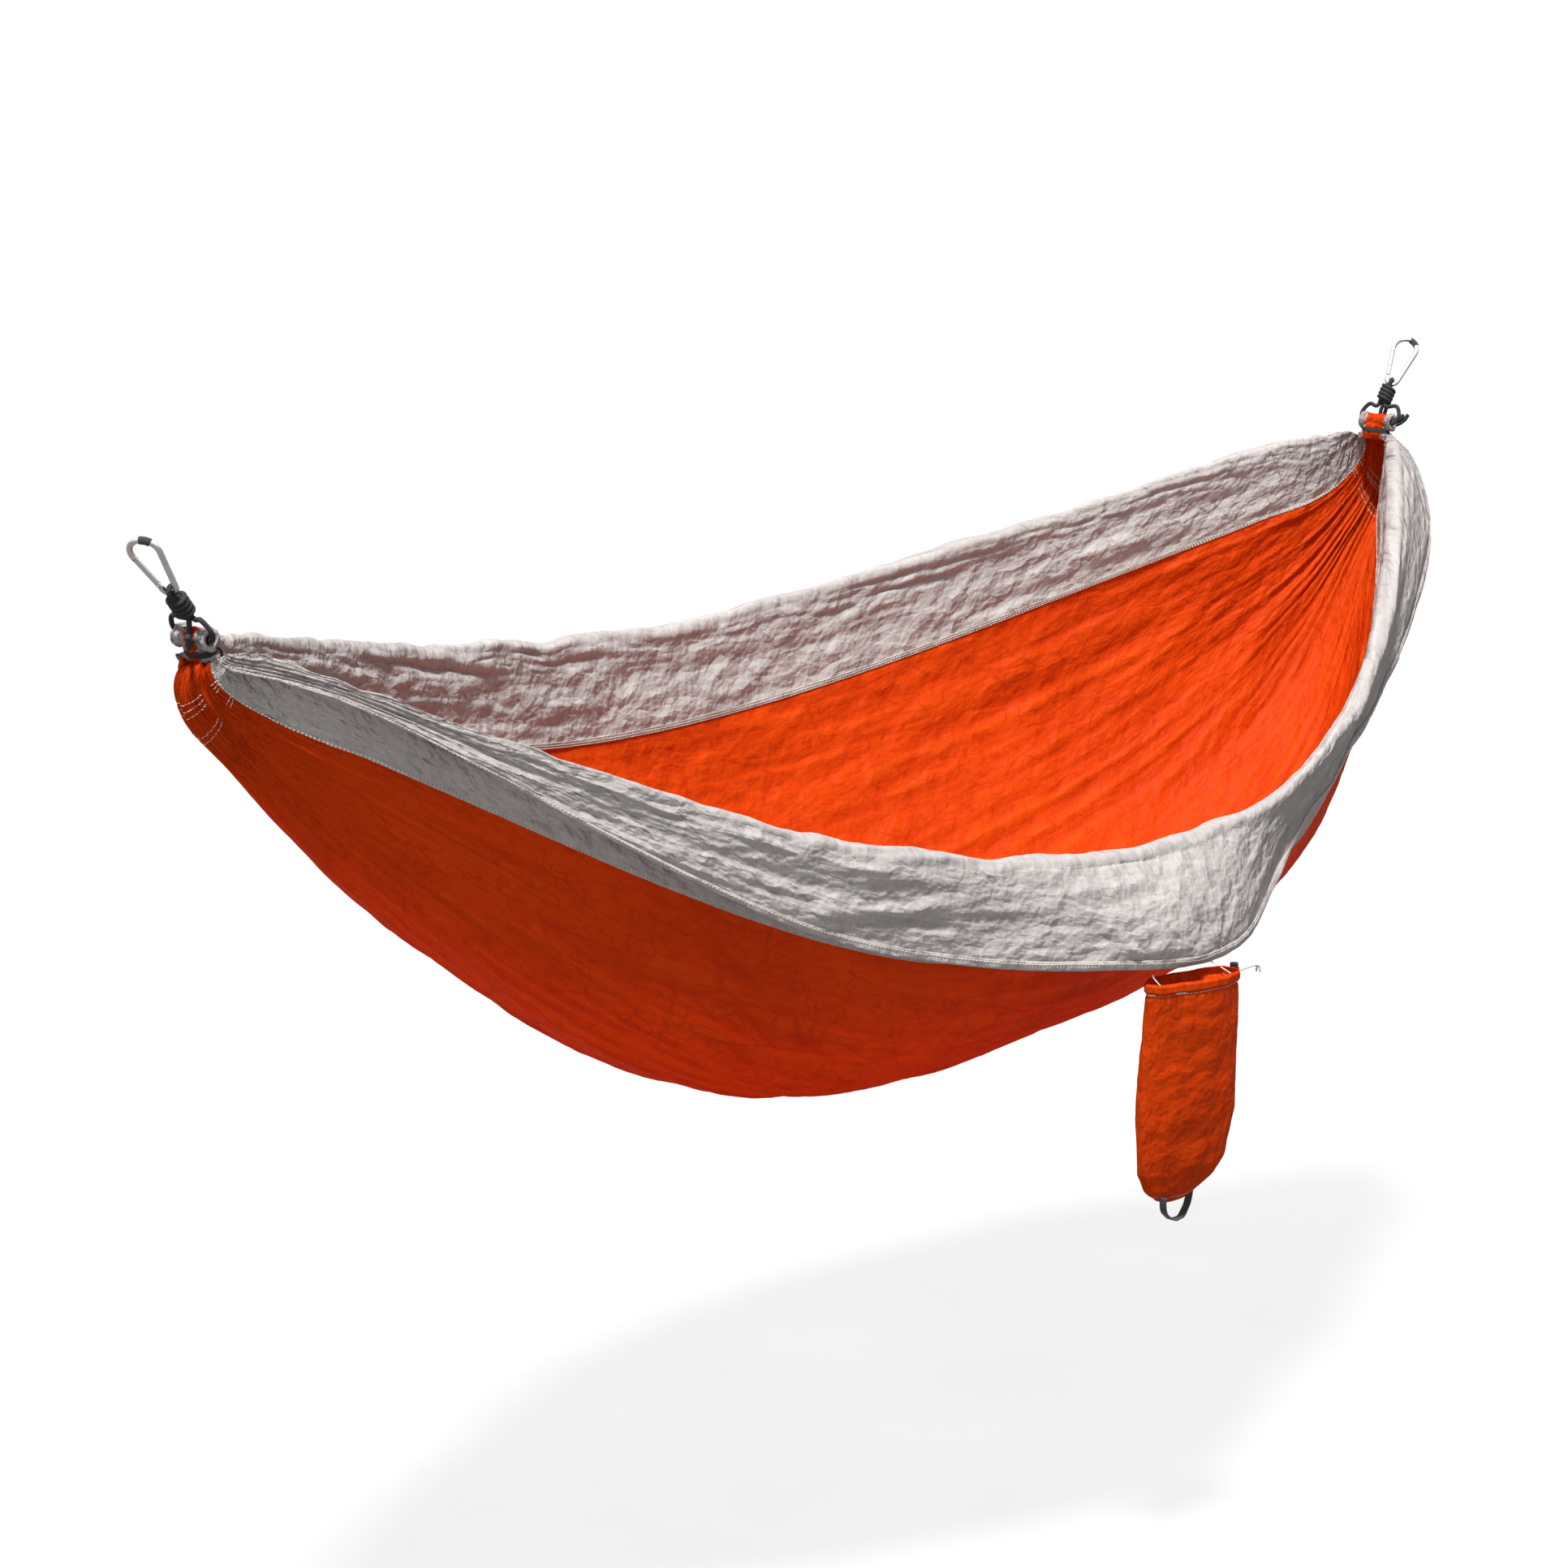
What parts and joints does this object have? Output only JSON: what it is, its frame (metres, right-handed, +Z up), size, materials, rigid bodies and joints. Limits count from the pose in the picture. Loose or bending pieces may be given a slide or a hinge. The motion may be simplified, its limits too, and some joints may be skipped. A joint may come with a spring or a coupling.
{
  "type": "camping hammock",
  "caption": "Gathered-end nylon camping hammock with folded side panels, rope and spring-gate carabiner at each end, and an attached stuff sack.",
  "frame": {"origin": "where the tree strap bears on the inner side of the left carabiner's bow", "axes": "+X to the right carabiner, +Y to the rear edge of the bed, +Z up"},
  "size_m": [2.4752, 0.9702, 0.9709],
  "materials": {
    "orange_nylon": "orange ripstop-free parachute nylon, softly glossy",
    "grey_nylon": "warm light grey parachute nylon",
    "seam_thread": "cream polyester thread",
    "dark_rope": "near-black braided cord",
    "dark_webbing": "near-black webbing",
    "polished_steel": "bright plated steel",
    "spring_steel": "plain spring steel",
    "white_cord": "white cord",
    "black_plastic": "black moulded plastic"
  },
  "bodies": {
    "bed": {"centre_panel": "orange_nylon", "front_side_panel": "grey_nylon", "rear_side_panel": "grey_nylon", "front_hem": "grey_nylon", "rear_hem": "grey_nylon", "front_seam_thread": "seam_thread", "rear_seam_thread": "seam_thread", "left_end_channel": "orange_nylon", "right_end_channel": "orange_nylon", "left_lashing": "dark_rope", "right_lashing": "dark_rope"},
    "stuff_sack": {"sack_shell": "orange_nylon", "sack_ties": "white_cord", "sack_drawcord": "white_cord", "sack_bottom_loop": "dark_webbing"},
    "cord_lock": {"cord_lock_body": "black_plastic", "cord_lock_spring": "spring_steel"},
    "lock_button": {"cord_lock_button": "black_plastic"},
    "left_suspension": {"left_rope": "dark_rope"},
    "left_carabiner": {"left_carabiner_body": "polished_steel", "left_bow_sleeve": "dark_webbing", "left_gate_rivet": "polished_steel"},
    "left_gate_arm": {"left_gate": "polished_steel", "left_latch_pin": "polished_steel", "left_gate_plunger": "spring_steel", "left_gate_spring": "spring_steel"},
    "right_suspension": {"right_rope": "dark_rope"},
    "right_carabiner": {"right_carabiner_body": "polished_steel", "right_bow_sleeve": "dark_webbing", "right_gate_rivet": "polished_steel"},
    "right_gate_arm": {"right_gate": "polished_steel", "right_latch_pin": "polished_steel", "right_gate_plunger": "spring_steel", "right_gate_spring": "spring_steel"}
  },
  "joints": [
    {"name": "left_rope_swing", "type": "hinge", "parent": "bed", "child": "left_suspension", "pos_m": [0.07407, 0, -0.11391], "axis": [0, 1, 0], "range_deg": [-20, 20], "stiffness_Nm_per_rad": 0.6},
    {"name": "left_carabiner_swing", "type": "hinge", "parent": "left_suspension", "child": "left_carabiner", "pos_m": [0.04379, 0, -0.06027], "axis": [-0.3291, 0.9135, -0.2391], "range_deg": [-45, 45], "stiffness_Nm_per_rad": 0.15},
    {"name": "left_gate_open", "type": "hinge", "parent": "left_carabiner", "child": "left_gate_arm", "pos_m": [0.0322, 0.00882, -0.051], "axis": [0.7391, 0.4067, 0.537], "range_deg": [0, 26], "stiffness_Nm_per_rad": 0.05},
    {"name": "right_rope_swing", "type": "hinge", "parent": "bed", "child": "right_suspension", "pos_m": [2.38585, 0, -0.11391], "axis": [0, 1, 0], "range_deg": [-20, 20], "stiffness_Nm_per_rad": 0.6},
    {"name": "right_carabiner_swing", "type": "hinge", "parent": "right_suspension", "child": "right_carabiner", "pos_m": [2.41613, 0, -0.06027], "axis": [-0.3291, 0.9135, 0.2391], "range_deg": [-45, 45], "stiffness_Nm_per_rad": 0.15},
    {"name": "right_gate_open", "type": "hinge", "parent": "right_carabiner", "child": "right_gate_arm", "pos_m": [2.42137, 0.00882, -0.04638], "axis": [0.7391, 0.4067, -0.537], "range_deg": [0, 26], "stiffness_Nm_per_rad": 0.05},
    {"name": "sack_swing", "type": "hinge", "parent": "bed", "child": "stuff_sack", "pos_m": [1.22996, -0.50236, -0.64289], "axis": [1, 0, 0], "range_deg": [-70, 3]},
    {"name": "cord_lock_slide", "type": "slide", "parent": "stuff_sack", "child": "cord_lock", "axis": [1, 0, 0], "range_m": [-0.004, 0.034]},
    {"name": "lock_button_press", "type": "slide", "parent": "cord_lock", "child": "lock_button", "axis": [0, 0, -1], "range_m": [0, 0.004], "stiffness_N_per_m": 400, "deforming": ["cord_lock_spring"]}
  ]
}
